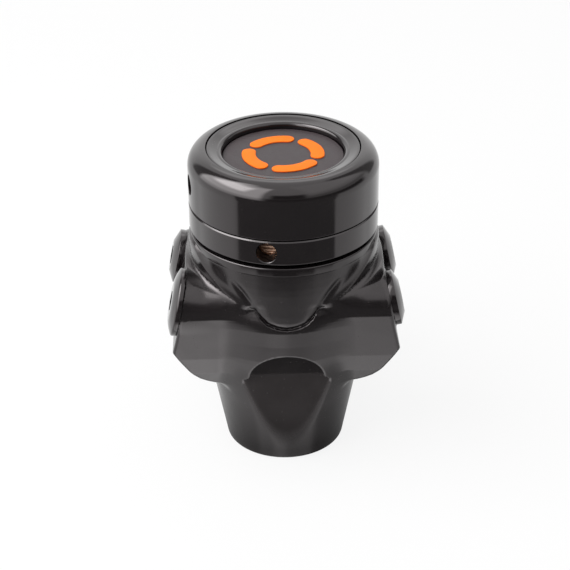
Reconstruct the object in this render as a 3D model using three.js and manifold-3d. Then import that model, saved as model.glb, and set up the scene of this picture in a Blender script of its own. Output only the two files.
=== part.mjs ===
// First stage of a scuba regulator: a balanced diaphragm reducer with an upright
// black body, a screwed cap over a dry spring chamber, four low pressure ports,
// two high pressure ports and a handwheel connector for the cylinder valve.
// Millimetres, +Z up the main axis, -Y is the front, +Y is the inlet side.
// The origin is the middle of the flat foot of the stem.

import * as THREE from 'three';
import { mergeVertices } from 'three/addons/utils/BufferGeometryUtils.js';
import Module from 'manifold-3d';

const wasm = await Module();
wasm.setup();

// ------------------------------------------------------------ driving sizes

const GAP = 0.3;                 // daylight between pieces that seat on each other
const SHELL_R = 24;              // cap, clamp ring and top of the body share this radius
const FINE = 48;                 // facets round the outer shells
const MID = 24;                  // facets round inner rings and the connector
const SMALL = 16;                // facets round plugs, pins, seals and drilled holes

const BODY_TOP = 62.3;           // rim that the clamp ring screws down on
const SEAM_LOW = 63.4;           // underside of the clamp ring's flange
const SEAM_HIGH = 70;            // line between clamp ring and cap
const CAP_TOP = 84.3;
const WAIST = 43.6;              // crease between barrel and stem

const FOOT_R = 15.5;             // stem radius carried down to the foot
const STEM_TAPER = 0.19;         // stem radius gained for each millimetre of height

const PORT_TILT = THREE.MathUtils.degToRad(12);  // side faces lean back by this
const PORT_X = 26.45;            // seat of a low pressure plug
const PORT_Y = 12;
const PORT_Z = 46.8;
const HIGH_TILT = THREE.MathUtils.degToRad(-45);   // high pressure ports point down and out
const HIGH_X = 22.5;
const HIGH_Z = 26.5;
const INLET_Z = 24;              // inlet axis, square to the main axis
const INLET_FACE = 25;           // flat end of the inlet boss

const CHAMBER_R = 7.3;           // high pressure chamber
const CHAMBER_FLOOR = 15;
const LOW_FLOOR = 51;            // floor of the low pressure chamber
const LOW_R = 14.5;
const DIAPHRAGM_SEAT = 57.5;     // step that carries the main diaphragm
const RIM_BORE = 20.5;           // bore of the body's rim
const NECK_R = 20.2;             // threaded necks of the clamp ring
const SPRING_BORE = 16.2;        // bore of the clamp ring

const STROKE = 0.8;              // travel of diaphragm, lifter and poppet
const SPANNER_R = 2.65;          // holes for a pin spanner
const SPANNER_DEPTH = 3;

// ------------------------------------------------------------ small helpers

const UP = new THREE.Vector3(0, 0, 1);
const v2 = (x, y) => new THREE.Vector2(x, y);

// Points of an arc in a profile, from angle a to angle b in degrees.
function arc(cx, cy, radius, a, b, steps = 4) {
  return Array.from({ length: steps + 1 }, (_, i) => {
    const t = THREE.MathUtils.degToRad(a + ((b - a) * i) / steps);
    return [cx + radius * Math.cos(t), cy + radius * Math.sin(t)];
  });
}

// Solid of revolution about +Z from [radius, height] pairs.
function revolve(profile, segments = SMALL) {
  const points = profile.map(([r, h]) => v2(r, h));
  const first = points[0];
  const last = points[points.length - 1];
  if (first.x > 0 || last.x > 0) points.push(first.clone());
  return new THREE.LatheGeometry(points, segments).rotateX(Math.PI / 2);
}

// Straight cylinder along +Z from height low to height high.
const rod = (radius, low, high, segments = SMALL) =>
  revolve([[0, low], [radius, low], [radius, high], [0, high]], segments);

// Tube along +Z.
const tube = (inner, outer, low, high, segments = SMALL) =>
  revolve([[inner, low], [outer, low], [outer, high], [inner, high]], segments);

// Plate with an outline in XY, from height low to height high.
function plate(shape, low, high, curveSegments = 8) {
  const settings = { depth: high - low, bevelEnabled: false, curveSegments };
  return new THREE.ExtrudeGeometry(shape, settings).translate(0, 0, low);
}

// Outline of a regular hexagon with the given width across flats.
function hexagon(flats) {
  const corner = flats / Math.sqrt(3);
  return new THREE.Shape(arc(0, 0, corner, 0, 300, 5).map(([x, y]) => v2(x, y)));
}

// Turns a geometry so that its +Z points along a direction, then moves it.
function aim(geometry, direction, at = [0, 0, 0]) {
  const turn = new THREE.Quaternion().setFromUnitVectors(UP, new THREE.Vector3(...direction).normalize());
  return geometry.applyQuaternion(turn).translate(...at);
}

// Closed solid of a geometry: shared corners merged, faces turned outwards.
function solid(geometry) {
  const bare = geometry.index ? geometry.toNonIndexed() : geometry;
  bare.deleteAttribute('normal');
  bare.deleteAttribute('uv');
  const merged = mergeVertices(bare, 1e-4);
  const p = merged.attributes.position.array;
  const index = merged.index.array;
  const triangles = [];
  let volume = 0;
  for (let i = 0; i < index.length; i += 3) {
    const [a, b, c] = [index[i], index[i + 1], index[i + 2]];
    if (a === b || b === c || c === a) continue;
    triangles.push([a, b, c]);
    const [u, v, w] = [a, b, c].map((k) => new THREE.Vector3().fromArray(p, 3 * k));
    volume += u.dot(v.cross(w));
  }
  const ordered = volume < 0 ? triangles.map(([a, b, c]) => [a, c, b]) : triangles;
  return new wasm.Manifold(new wasm.Mesh({
    numProp: 3,
    vertProperties: new Float32Array(p),
    triVerts: new Uint32Array(ordered.flat()),
  }));
}

const join = (...geometries) => geometries.map(solid).reduce((sum, next) => sum.add(next));
const cut = (base, ...tools) => tools.map(solid).reduce((left, tool) => left.subtract(tool), base);

// Geometry of a finished solid.
function shapeOf(body) {
  const mesh = body.getMesh();
  const geometry = new THREE.BufferGeometry();
  geometry.setAttribute('position', new THREE.BufferAttribute(new Float32Array(mesh.vertProperties), 3));
  geometry.setIndex(new THREE.BufferAttribute(new Uint32Array(mesh.triVerts), 1));
  geometry.computeVertexNormals();
  return geometry;
}

// ------------------------------------------------------------ finishes

const finish = (color, roughness, metalness) => () =>
  new THREE.MeshStandardMaterial({ color, roughness, metalness, flatShading: true });

const glossBlack = finish(0x1c1a1b, 0.18, 0.6);
const rubber = finish(0x2f2a2d, 0.7, 0);
const orange = finish(0xff7a00, 0.5, 0);
const brass = finish(0xb08d57, 0.35, 1);
const bronze = finish(0x8a6a48, 0.8, 1);
const steel = finish(0xb9bcc0, 0.3, 1);
const white = finish(0xe8e6e0, 0.5, 0);
const gripBlack = finish(0x232122, 0.6, 0);

const assembly = new THREE.Group();

// Adds a named piece; direction aims its +Z, at is its place.
function piece(name, material, body, { direction = [0, 0, 1], at = [0, 0, 0] } = {}) {
  const mesh = new THREE.Mesh(shapeOf(body), material());
  mesh.name = name;
  mesh.quaternion.setFromUnitVectors(UP, new THREE.Vector3(...direction).normalize());
  mesh.position.set(...at);
  assembly.add(mesh);
}

// ------------------------------------------------------------ ports

// A port is a seat with an outward axis. side is -1 on the left and 1 on the right.
const lowPort = (side, row) => ({
  direction: [side * Math.cos(PORT_TILT), 0, Math.sin(PORT_TILT)],
  at: [side * PORT_X, row * PORT_Y, PORT_Z],
});
const highPort = (side) => ({
  direction: [side * Math.cos(HIGH_TILT), 0, Math.sin(HIGH_TILT)],
  at: [side * HIGH_X, 0, HIGH_Z],
});
const inletPort = { direction: [0, 1, 0], at: [0, 0, INLET_Z] };

// Thread and seal sizes of the three kinds of port.
const LOW = { bore: 4.9, shank: 4.5, depth: 9, seal: 5.35, pocket: 6.35, pilot: 3, spot: 7.4 };
const LOW_LARGE = { bore: 6.5, shank: 6.1, depth: 9, seal: 6.95, pocket: 7.9, pilot: 3, spot: 9 };
const HIGH = { bore: 5.1, shank: 4.7, depth: 8, seal: 5.55, pocket: 6.55, pilot: 2, spot: 7.9 };
const SEAL_WIRE = 0.7;
const SPOT_DEPTH = 0.15;

// What a drill takes out of a port: spot face, seal pocket, thread and pilot hole.
const portDrill = (size, port, pilotDepth) => aim(revolve([
  [0, -pilotDepth], [size.pilot, -pilotDepth], [size.pilot, -size.depth - 1.2], [size.bore, -size.depth],
  [size.bore, -1.7], [size.pocket, -1.7], [size.pocket, -SPOT_DEPTH], [size.spot, -SPOT_DEPTH],
  [size.spot, 5], [0, 5],
], SMALL), port.direction, port.at);

const lowPorts = [
  { name: 'low_plug_left_front', side: -1, row: -1, size: LOW_LARGE },
  { name: 'low_plug_left_rear', side: -1, row: 1, size: LOW },
  { name: 'low_plug_right_front', side: 1, row: -1, size: LOW },
  { name: 'low_plug_right_rear', side: 1, row: 1, size: LOW },
];

// ------------------------------------------------------------ body

// Radius of the stem at a height: a straight taper that rounds over near the waist.
const stemRadius = (z) => {
  const knee = 26;
  const straight = FOOT_R + STEM_TAPER * Math.min(z, knee);
  const over = Math.max(0, z - knee);
  return straight + STEM_TAPER * over * (1 - over / 36);
};

// Barrel under the clamp ring, drawn in like a bowl towards the waist.
function barrel() {
  return revolve([
    [0, WAIST - 4], [15, WAIST - 4], [18.6, WAIST - 1.6], ...arc(15.9, 46.6, 5.6, -38, 0, 3),
    [22.1, 50], [22.7, 54], [23.3, 57.6], [SHELL_R, 60.2], [SHELL_R, BODY_TOP - 0.4],
    [SHELL_R - 0.4, BODY_TOP], [0, BODY_TOP],
  ], FINE);
}

function stem() {
  const edge = 0.9;
  const bottom = arc(FOOT_R + STEM_TAPER * edge - edge, edge, edge, -90, -8, 4);
  const heights = [12, 20, 26, 31, 36, 40.5];
  return revolve([
    [0, 0], ...bottom, ...heights.map((z) => [stemRadius(z), z]),
    [stemRadius(40) - 0.2, WAIST - 1.2], [stemRadius(40) - 1, WAIST], [0, WAIST],
  ], FINE);
}

// Cross block that carries the ports: a section across Y cut to an outline across X.
function portBlock() {
  const bossR = 9.3;
  const bossY = 10.9;
  const bossZ = 47.2;
  const ledge = 45;                                // top edge of the lower front face
  const start = THREE.MathUtils.radToDeg(Math.asin((ledge - bossZ) / bossR));
  const rearSide = [[15.2, 20], [17.4, 33], ...arc(bossY, bossZ, bossR, start, 66, 6), [6.5, 60.4]];
  const frontSide = rearSide.map(([y, z]) => [-y, z]).reverse();
  const section = new THREE.Shape([...rearSide, ...frontSide].map(([y, z]) => v2(y, z)));
  const along = plate(section, -34, 34).applyMatrix4(new THREE.Matrix4().makeBasis(
    new THREE.Vector3(0, 1, 0), new THREE.Vector3(0, 0, 1), new THREE.Vector3(1, 0, 0)));

  const sideX = (z) => PORT_X - (z - PORT_Z) * Math.tan(PORT_TILT);
  const cornerZ = 34.9;
  const rightEdge = [[8, 31.5], [12.5, 29.2], [16, 26.2], [18.8, 24.2], [22.2, 26.4], [25.4, 30],
    [sideX(cornerZ), cornerZ], [sideX(BODY_TOP), BODY_TOP]];
  const leftEdge = rightEdge.map(([x, z]) => [-x, z]).reverse();
  const outline = new THREE.Shape([...rightEdge, ...leftEdge].map(([x, z]) => v2(x, z)));
  const across = plate(outline, -26, 26).applyMatrix4(new THREE.Matrix4().makeBasis(
    new THREE.Vector3(1, 0, 0), new THREE.Vector3(0, 0, 1), new THREE.Vector3(0, -1, 0)));
  return solid(along).intersect(solid(across));
}

// Flat pocket milled into the front of the stem with a round cutter.
function frontPocket() {
  const cutterR = 11.3;
  const cutterZ = 24.4;
  const floorY = -16.4;
  const shape = new THREE.Shape([[-cutterR, -3], [cutterR, -3], ...arc(0, cutterZ, cutterR, 0, 180, 14)]
    .map(([x, z]) => v2(x, z)));
  return plate(shape, -floorY, 32).applyMatrix4(new THREE.Matrix4().makeBasis(
    new THREE.Vector3(1, 0, 0), new THREE.Vector3(0, 0, 1), new THREE.Vector3(0, -1, 0)));
}

function bodyHousing() {
  const padR = 8.8;
  const inletBoss = aim(revolve([[0, 4], [12.5, 4], [12.5, INLET_FACE - 0.6], [11.9, INLET_FACE],
    [0, INLET_FACE]], 32), inletPort.direction, inletPort.at);
  const pads = [-1, 1].map(highPort).map(({ direction, at }) => aim(rod(padR, -12, 0, MID), direction, at));
  const outside = join(barrel(), stem(), inletBoss, ...pads).add(portBlock());

  const mainBore = revolve([
    [0, CHAMBER_FLOOR], [CHAMBER_R, CHAMBER_FLOOR], [CHAMBER_R, LOW_FLOOR], [LOW_R, LOW_FLOOR],
    [LOW_R, DIAPHRAGM_SEAT], [RIM_BORE, DIAPHRAGM_SEAT], [RIM_BORE, BODY_TOP + 2], [0, BODY_TOP + 2],
  ], MID);
  const inletBore = aim(revolve([[0, 0], [3, 0], [3, 13], [7.9, 13], [7.9, INLET_FACE - 1.7],
    [9.8, INLET_FACE - 1.7], [9.8, INLET_FACE + 2], [0, INLET_FACE + 2]], SMALL),
  inletPort.direction, inletPort.at);
  const lowDrills = lowPorts.map((p) => portDrill(p.size, lowPort(p.side, p.row), 18));
  const highDrills = [-1, 1].map((side) => portDrill(HIGH, highPort(side), 22));
  const risers = lowPorts.map(({ side, row }) =>
    rod(1.6, PORT_Z - 4, LOW_FLOOR + 1, 8).translate(side * 9.5, row * 9.5, 0));
  return cut(outside, frontPocket(), mainBore, inletBore, ...lowDrills, ...highDrills, ...risers);
}

piece('body', glossBlack, bodyHousing());

// ------------------------------------------------------------ clamp ring and cap

// Two pin spanner holes opposite each other, on a shell of radius SHELL_R.
const spannerHoles = (angle, z) => [0, Math.PI].map((half) => {
  const turn = angle + half;
  const out = [Math.cos(turn), Math.sin(turn), 0];
  const drill = revolve([[0, -SPANNER_DEPTH], [SPANNER_R, -SPANNER_DEPTH], [SPANNER_R, -0.35],
    [SPANNER_R + 0.9, 0.6], [0, 0.6]], SMALL);
  return aim(drill, out, [SHELL_R * out[0], SHELL_R * out[1], z]);
});
const CLAMP_HOLE_ANGLE = THREE.MathUtils.degToRad(-102);
const CAP_HOLE_ANGLE = THREE.MathUtils.degToRad(190);

// Clamp ring: its lower neck presses the diaphragm down, its upper neck takes the cap.
function clampRing() {
  const top = SEAM_HIGH - 0.15;
  const ring = revolve([
    [SPRING_BORE, 59.5], [NECK_R, 59.5], [NECK_R, BODY_TOP + GAP], [SHELL_R - 1.5, BODY_TOP + GAP],
    [SHELL_R - 1.5, SEAM_LOW], [SHELL_R - 0.4, SEAM_LOW], [SHELL_R, SEAM_LOW + 0.4],
    [SHELL_R, top - 0.5], [SHELL_R - 0.5, top], [NECK_R, top], [NECK_R, 78.4],
    [NECK_R - 0.5, 78.9], [SPRING_BORE, 78.9],
  ], FINE);
  return cut(solid(ring), ...spannerHoles(CLAMP_HOLE_ANGLE, 66.7));
}
piece('clamp_ring', glossBlack, clampRing());

const CAP_LEDGE = 80.5;          // ledge that carries the rim of the membrane
const RING_R = 19.4;             // fine groove between cap and retaining ring
function endCap() {
  const fillet = 4.6;
  const low = SEAM_HIGH + 0.15;
  const shell = revolve([
    [NECK_R + GAP, low], [SHELL_R - 0.5, low], [SHELL_R, low + 0.5],
    ...arc(SHELL_R - fillet, CAP_TOP - fillet, fillet, 0, 90, 6), [RING_R + 0.1, CAP_TOP - 0.2],
    [RING_R + 0.1, CAP_LEDGE], [16.4, CAP_LEDGE], [16.4, 79.2], [NECK_R + GAP, 79.2],
  ], FINE);
  return cut(solid(shell), ...spannerHoles(CAP_HOLE_ANGLE, 76));
}
piece('end_cap', glossBlack, endCap());

// Retaining ring: dished inwards, pressed over the membrane.
piece('retaining_ring', glossBlack, solid(revolve([
  [15.3, 81.6], [RING_R - 0.2, 81.6], [RING_R - 0.2, CAP_TOP - 0.5], [RING_R - 0.5, CAP_TOP - 0.2],
  [17.6, CAP_TOP - 0.6], [16.2, CAP_TOP - 1.05], ...arc(15.9, CAP_TOP - 1.7, 0.6, 80, 180, 2),
], FINE)));

// Soft membrane: a moving disc with four raised marks set into it, and its clamped rim.
const MEMBRANE_TOP = 81.9;
const MARK = { radius: 8.6, width: 3.5, span: 58, lift: 0.35, sunk: 0.3 };
const markAngles = [0, 1, 2, 3].map((k) => 90 * k + 20);

// Outline of one mark: a short arc band with round ends, grown by a margin.
function markShape(angle, margin) {
  const half = MARK.width / 2 + margin;
  const [from, to] = [angle - MARK.span / 2, angle + MARK.span / 2];
  const end = (at, start) => {
    const t = THREE.MathUtils.degToRad(at);
    return arc(MARK.radius * Math.cos(t), MARK.radius * Math.sin(t), half, at + start, at + start + 180, 6);
  };
  return new THREE.Shape([
    ...arc(0, 0, MARK.radius + half, from, to, 6), ...end(to, 0).slice(1, -1),
    ...arc(0, 0, MARK.radius - half, to, from, 6), ...end(from, 180).slice(1, -1),
  ].map(([x, y]) => v2(x, y)));
}

function membrane() {
  const disc = revolve([
    [0, MEMBRANE_TOP - 1], [14.2, MEMBRANE_TOP - 1], [14.6, MEMBRANE_TOP - 0.7], [14.6, MEMBRANE_TOP - 0.2],
    [14.4, MEMBRANE_TOP], [0, MEMBRANE_TOP],
  ], FINE);
  const pockets = markAngles.map((angle) => plate(markShape(angle, 0.1), MEMBRANE_TOP - MARK.sunk, 84));
  return cut(solid(disc), ...pockets);
}
piece('membrane', rubber, membrane());
piece('membrane_rim', rubber, solid(tube(14.9, 18.9, CAP_LEDGE + GAP, 81.3, MID)));
markAngles.forEach((angle, k) => {
  const floor = MEMBRANE_TOP - MARK.sunk + 0.1;
  const mark = plate(markShape(angle, 0), floor, MEMBRANE_TOP + MARK.lift);
  piece(`membrane_mark_${k + 1}`, orange, solid(mark));
});

// ------------------------------------------------------------ spring chamber

// Load transmitter: a light mushroom between the membrane and the spring pad.
piece('load_transmitter', white, solid(revolve([
  [0, 62.4], [4.6, 62.4], [4.6, 77], [6.4, 78.6], [14, 78.6], [14.4, 79], [14.4, 80.2], [14, 80.6],
  [0, 80.6],
], MID)));

const ADJUSTER_LOW = 74.2;
function springAdjuster() {
  const nut = revolve([[6.9, ADJUSTER_LOW], [15.9, ADJUSTER_LOW], [15.9, 77], [6.9, 77]], MID);
  const slots = [0, 60, 120].map((deg) => new THREE.BoxGeometry(27, 2.4, 1.6)
    .rotateZ(THREE.MathUtils.degToRad(deg)).translate(0, 0, 77));
  return cut(solid(nut), ...slots);
}
piece('spring_adjuster', brass, springAdjuster());
piece('thrust_washer', steel, solid(tube(7, 14.2, 72.9, ADJUSTER_LOW - GAP, MID)));

// Round wire wound as one unbroken helix about +Z with square cut ends.
function coilSpring({ radius, wire, low, high, turns, steps = 8, sides = 5 }) {
  const count = Math.round(turns * steps);
  const positions = [];
  const index = [];
  const rise = (high - low - 2 * wire) / count;
  for (let i = 0; i <= count; i += 1) {
    const t = (2 * Math.PI * i) / steps;
    const z = low + wire + rise * i;
    for (let k = 0; k < sides; k += 1) {
      const s = (2 * Math.PI * k) / sides;
      const r = radius + wire * Math.cos(s);
      positions.push(r * Math.cos(t), r * Math.sin(t), z + wire * Math.sin(s));
    }
  }
  for (let i = 0; i < count; i += 1) {
    for (let k = 0; k < sides; k += 1) {
      const a = i * sides + k;
      const b = i * sides + ((k + 1) % sides);
      index.push(a, b, b + sides, a, b + sides, a + sides);
    }
  }
  for (let k = 1; k < sides - 1; k += 1) {
    const last = count * sides;
    index.push(0, k + 1, k, last, last + k, last + k + 1);
  }
  const geometry = new THREE.BufferGeometry();
  geometry.setAttribute('position', new THREE.BufferAttribute(new Float32Array(positions), 3));
  geometry.setIndex(index);
  console.log(`spring of ${turns} turns: gap between turns ${(rise * steps - 2 * wire).toFixed(2)} mm`);
  return solid(geometry);
}

const PAD_TOP = 61.3;
piece('main_spring', steel, coilSpring({
  radius: 10.8, wire: 1, low: PAD_TOP + GAP, high: 72.6, turns: 3.25,
}));
piece('spring_pad', brass, solid(revolve([
  [0, 59.5], [13.2, 59.5], [13.8, 60], [13.8, PAD_TOP], [9, PAD_TOP], [8.4, 62.1], [0, 62.1],
], MID)));

// Main diaphragm: a moving rubber disc and its thick clamped rim.
piece('main_diaphragm', rubber, solid(rod(LOW_R - 0.4, 57.9, 59, MID)));
piece('diaphragm_rim', rubber, solid(revolve([
  [LOW_R + 0.1, 57.9], [17.2, 57.7], [20.1, 57.7], [20.1, 59.2], [17.2, 59.2], [LOW_R + 0.1, 59],
], MID)));

// ------------------------------------------------------------ valve

const POPPET_TOP = 44.2;
piece('lifter', steel, solid(revolve([
  [0, POPPET_TOP + GAP], [1.2, POPPET_TOP + GAP], [1.2, 54.6], [3.4, 55.6], [12, 56.2], [12.4, 56.6],
  [12.4, 57.2], [12, 57.6], [0, 57.6],
], SMALL)));
piece('orifice', brass, solid(revolve([
  [1.9, POPPET_TOP + GAP], [2.5, POPPET_TOP + GAP], [3.4, 46], [CHAMBER_R - GAP, 46],
  [CHAMBER_R - GAP, 50.6], [3.6, 50.6], [3.2, 49.4], [1.9, 49.4],
], SMALL)));
piece('poppet', white, solid(revolve([
  [0, 17.6], [1.4, 17.6], [1.6, 17.9], [1.6, 38.6], [2.2, 39.2], [4.4, 40], [4.6, 40.4],
  [4.6, POPPET_TOP - 0.4], [4.2, POPPET_TOP], [0, POPPET_TOP],
], SMALL)));
piece('balance_block', brass, solid(revolve([
  [1.9, CHAMBER_FLOOR + 1.4], [1.9, 20.2], [2.9, 20.2], [2.9, 21.4], [4.2, 21.4], [CHAMBER_R - GAP, 20],
  [CHAMBER_R - GAP, CHAMBER_FLOOR + GAP], [0, CHAMBER_FLOOR + GAP], [0, CHAMBER_FLOOR + 1.4],
], SMALL)));
piece('valve_spring', steel, coilSpring({
  radius: 3.4, wire: 0.42, low: 21.7, high: 39.2, turns: 7, steps: 7,
}));

// ------------------------------------------------------------ seals and plugs

// Rubber ring of round section lying flat at a height.
const ringSeal = (radius, wire, z) => solid(revolve(arc(radius, z, wire, 0, 288, 4), SMALL));

const socket = (flats, depth, top) => plate(hexagon(flats), top - depth, top + 1);

// Plug with a plain band, a long chamfer and a hexagon socket.
function chamferedPlug({ shank, depth }, { head, band, tall, face }) {
  return cut(solid(revolve([
    [0, -depth + 0.8], [shank - 0.7, -depth + 0.8], [shank, -depth + 1.5], [shank, GAP - 0.1],
    [head, GAP - 0.1], [head, band], [face, tall], [0, tall],
  ], SMALL)), socket(4.8, 4, tall));
}

// Low flat plug with a raised rim.
function flatPlug({ shank, depth }, { head, tall }) {
  return cut(solid(revolve([
    [0, -depth + 0.8], [shank - 0.7, -depth + 0.8], [shank, -depth + 1.5], [shank, GAP - 0.1],
    [head, GAP - 0.1], [head, tall - 0.5], [head - 0.5, tall], [head - 1.1, tall], [head - 1.4, tall - 0.3],
    [0, tall - 0.3],
  ], 28)), socket(4.8, 3.4, tall));
}

const LOW_HEAD = { head: 7.1, band: 1.7, tall: 3.05, face: 4.1 };
const LARGE_HEAD = { head: 8.75, tall: 3 };
const HIGH_HEAD = { head: 7.5, band: 1.6, tall: 3.1, face: 5.6 };

for (const { name, side, row, size } of lowPorts) {
  const plug = size === LOW_LARGE ? flatPlug(size, LARGE_HEAD) : chamferedPlug(size, LOW_HEAD);
  piece(name, glossBlack, plug, lowPort(side, row));
  piece(name.replace('plug', 'seal'), rubber, ringSeal(size.seal, SEAL_WIRE, -0.85), lowPort(side, row));
}
for (const side of [-1, 1]) {
  const word = side < 0 ? 'left' : 'right';
  piece(`high_plug_${word}`, glossBlack, chamferedPlug(HIGH, HIGH_HEAD), highPort(side));
  piece(`high_seal_${word}`, rubber, ringSeal(HIGH.seal, SEAL_WIRE, -0.85), highPort(side));
}

// ------------------------------------------------------------ inlet connector

// All inlet pieces are drawn along +Z from the main axis and aimed along +Y.
const NUT_END = 33;
const WHEEL_LOW = NUT_END + GAP;
const WHEEL_HIGH = 46;
const THREAD_R = 11.4;
const FACE_END = 64.5;

// Connector base: screwed into the boss, with flats for a wrench and a bore for the stem.
function connectorBase() {
  const turned = revolve([
    [4.9, 15], [7.6, 15], [7.6, INLET_FACE + GAP], [12.6, INLET_FACE + GAP], [12.6, NUT_END - 1],
    [11.6, NUT_END], [4.9, NUT_END],
  ], 32);
  const flats = plate(hexagon(22), 10, NUT_END + 4);
  return solid(turned).intersect(solid(flats));
}
piece('inlet_base', glossBlack, connectorBase(), inletPort);

// Hollow stem that holds the handwheel and ends in the sealing face.
const SEAL_GROOVE = { inner: 5.1, outer: 7.1, deep: 1.6 };
piece('inlet_stem', steel, solid(revolve([
  [2.7, 16], [4.6, 16], [4.6, 59.9], [8.1, 59.9], [8.1, FACE_END - 0.3], [7.8, FACE_END],
  [SEAL_GROOVE.outer, FACE_END], [SEAL_GROOVE.outer, FACE_END - SEAL_GROOVE.deep],
  [SEAL_GROOVE.inner, FACE_END - SEAL_GROOVE.deep], [SEAL_GROOVE.inner, FACE_END], [2.9, FACE_END],
  [2.7, FACE_END - 0.2],
], MID)), inletPort);
piece('inlet_face_seal', rubber, ringSeal(6.1, 0.8, FACE_END - 0.65), inletPort);
piece('inlet_base_seal', rubber, ringSeal(8.8, SEAL_WIRE, INLET_FACE - 0.85), inletPort);

// Threaded coupling that turns on the stem and draws the connector into the valve.
piece('coupling_thread', steel, solid(revolve([
  [4.9, WHEEL_LOW + 0.2], [9.6, WHEEL_LOW + 0.2], [9.6, WHEEL_HIGH + 0.3], [THREAD_R, WHEEL_HIGH + 0.3],
  [THREAD_R, 58.4], [THREAD_R - 1, 59.4], [4.9, 59.4],
], MID)), inletPort);

// Handwheel with finger scallops, keyed on the coupling.
const WHEEL = { radius: 22, lobes: 8, scallop: 7, reach: 26.4 };
function handwheel() {
  const wheel = revolve([
    [9.9, WHEEL_LOW], [14, WHEEL_LOW], [17.6, WHEEL_LOW + 2.4],
    ...arc(WHEEL.radius - 2, WHEEL_LOW + 4.6, 2, -60, 0, 2),
    ...arc(WHEEL.radius - 2, WHEEL_HIGH - 2, 2, 0, 90, 2), [9.9, WHEEL_HIGH],
  ], 40);
  const scallops = Array.from({ length: WHEEL.lobes }, (_, k) => {
    const t = (2 * Math.PI * (k + 0.5)) / WHEEL.lobes;
    return rod(WHEEL.scallop, 30, 50).translate(WHEEL.reach * Math.cos(t), WHEEL.reach * Math.sin(t), 0);
  });
  return cut(solid(wheel), ...scallops);
}
piece('handwheel', gripBlack, handwheel(), inletPort);

// Sintered filter cone in the stem and the wire clip that keeps it there.
piece('inlet_filter', bronze, solid(revolve([
  [0, 52], [1.3, 52], [2.4, 62.4], [0, 62.4],
])), inletPort);
piece('filter_clip', steel, solid(tube(1.5, 2.45, 62.7, 63.3)), inletPort);

console.log(`meshes ${assembly.children.length}, valve stroke ${STROKE} mm`);

export default assembly;
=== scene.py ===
# Looks of a diving first stage: a plated body with a screwed cap, a soft membrane,
# plugged hose ports and a handwheel connector. Shapes are drawn in millimetres in the
# frame of the solids and handed over in metres.

import math
import bmesh
import bpy
import numpy as np
from mathutils import Matrix, Vector


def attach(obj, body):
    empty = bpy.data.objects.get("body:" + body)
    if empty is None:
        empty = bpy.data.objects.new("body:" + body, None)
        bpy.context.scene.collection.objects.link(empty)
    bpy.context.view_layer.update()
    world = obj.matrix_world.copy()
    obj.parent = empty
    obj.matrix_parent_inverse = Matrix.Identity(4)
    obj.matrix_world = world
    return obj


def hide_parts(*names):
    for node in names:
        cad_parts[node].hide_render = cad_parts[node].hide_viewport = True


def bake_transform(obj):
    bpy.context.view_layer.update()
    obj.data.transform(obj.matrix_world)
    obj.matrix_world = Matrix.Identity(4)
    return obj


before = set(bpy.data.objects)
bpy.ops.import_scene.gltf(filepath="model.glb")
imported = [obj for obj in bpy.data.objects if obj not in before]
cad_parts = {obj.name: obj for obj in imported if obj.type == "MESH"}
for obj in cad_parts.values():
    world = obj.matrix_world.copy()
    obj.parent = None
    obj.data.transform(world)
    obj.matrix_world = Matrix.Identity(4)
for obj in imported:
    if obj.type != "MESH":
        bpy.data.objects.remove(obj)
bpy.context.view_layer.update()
MM = 0.001
TAU = 2 * math.pi

# sizes that several pieces share; an R is a radius, a Z a height
SHELL_R, BODY_TOP = 24.0, 62.3
FOOT_R, TAPER = 15.5, 0.19
POCKET_Y = -16.85  # back wall of the milled front pocket
PORT, PORT_TILT = (26.45, 12.0, 46.8), 12
HIGH_PORT, HIGH_PORT_TILT = (22.5, 0.0, 26.5), -45
KEY_FLATS = 4.8
CAP_EDGE_R, CAP_EDGE_Z, CAP_EDGE = 19.4, 79.7, 4.6  # centre and radius of the cap's round edge
INLET_Z, INLET_END = 24, 64.5
INLET = ((0, 1, 0), (0, 0, INLET_Z))  # direction and foot of the connector's axis
SIDES, ROWS = ((-1, "left"), (1, "right")), ((-1, "front"), (1, "rear"))
STUDIO_Z, FLOOR_R, DOME_R = 60, 6000, 3000


# ------------------------ camera

def toward(azimuth, elevation):
    """Direction of a place seen from the object, at an azimuth from the front, in degrees."""
    a, e = math.radians(azimuth), math.radians(elevation)
    return Vector((math.sin(a) * math.cos(e), -math.cos(a) * math.cos(e), math.sin(e)))


def make_camera(azimuth, elevation, distance, target, lens, roll):
    """Camera on a sphere round the target; angles in degrees, lengths in millimetres."""
    a, r = math.radians(azimuth), math.radians(roll)
    back = toward(azimuth, elevation)
    right = Vector((math.cos(a), math.sin(a), 0))
    up = back.cross(right)
    tilted_right = math.cos(r) * right + math.sin(r) * up
    tilted_up = math.cos(r) * up - math.sin(r) * right
    data = bpy.data.cameras.new("camera")
    data.sensor_width = 36
    data.lens = lens
    data.clip_start, data.clip_end = 0.01, 50
    camera = bpy.data.objects.new("camera", data)
    bpy.context.scene.collection.objects.link(camera)
    place = (Vector(target) + back * distance) * MM
    turn = Matrix((tilted_right, tilted_up, back)).transposed()
    camera.matrix_world = Matrix.Translation(place) @ turn.to_4x4()
    bpy.context.scene.camera = camera


make_camera(azimuth=-1.8, elevation=30, distance=432, target=(0.23, 0, 44.25),
            lens=104.7, roll=-0.38)


# ------------------------ shader helpers

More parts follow.
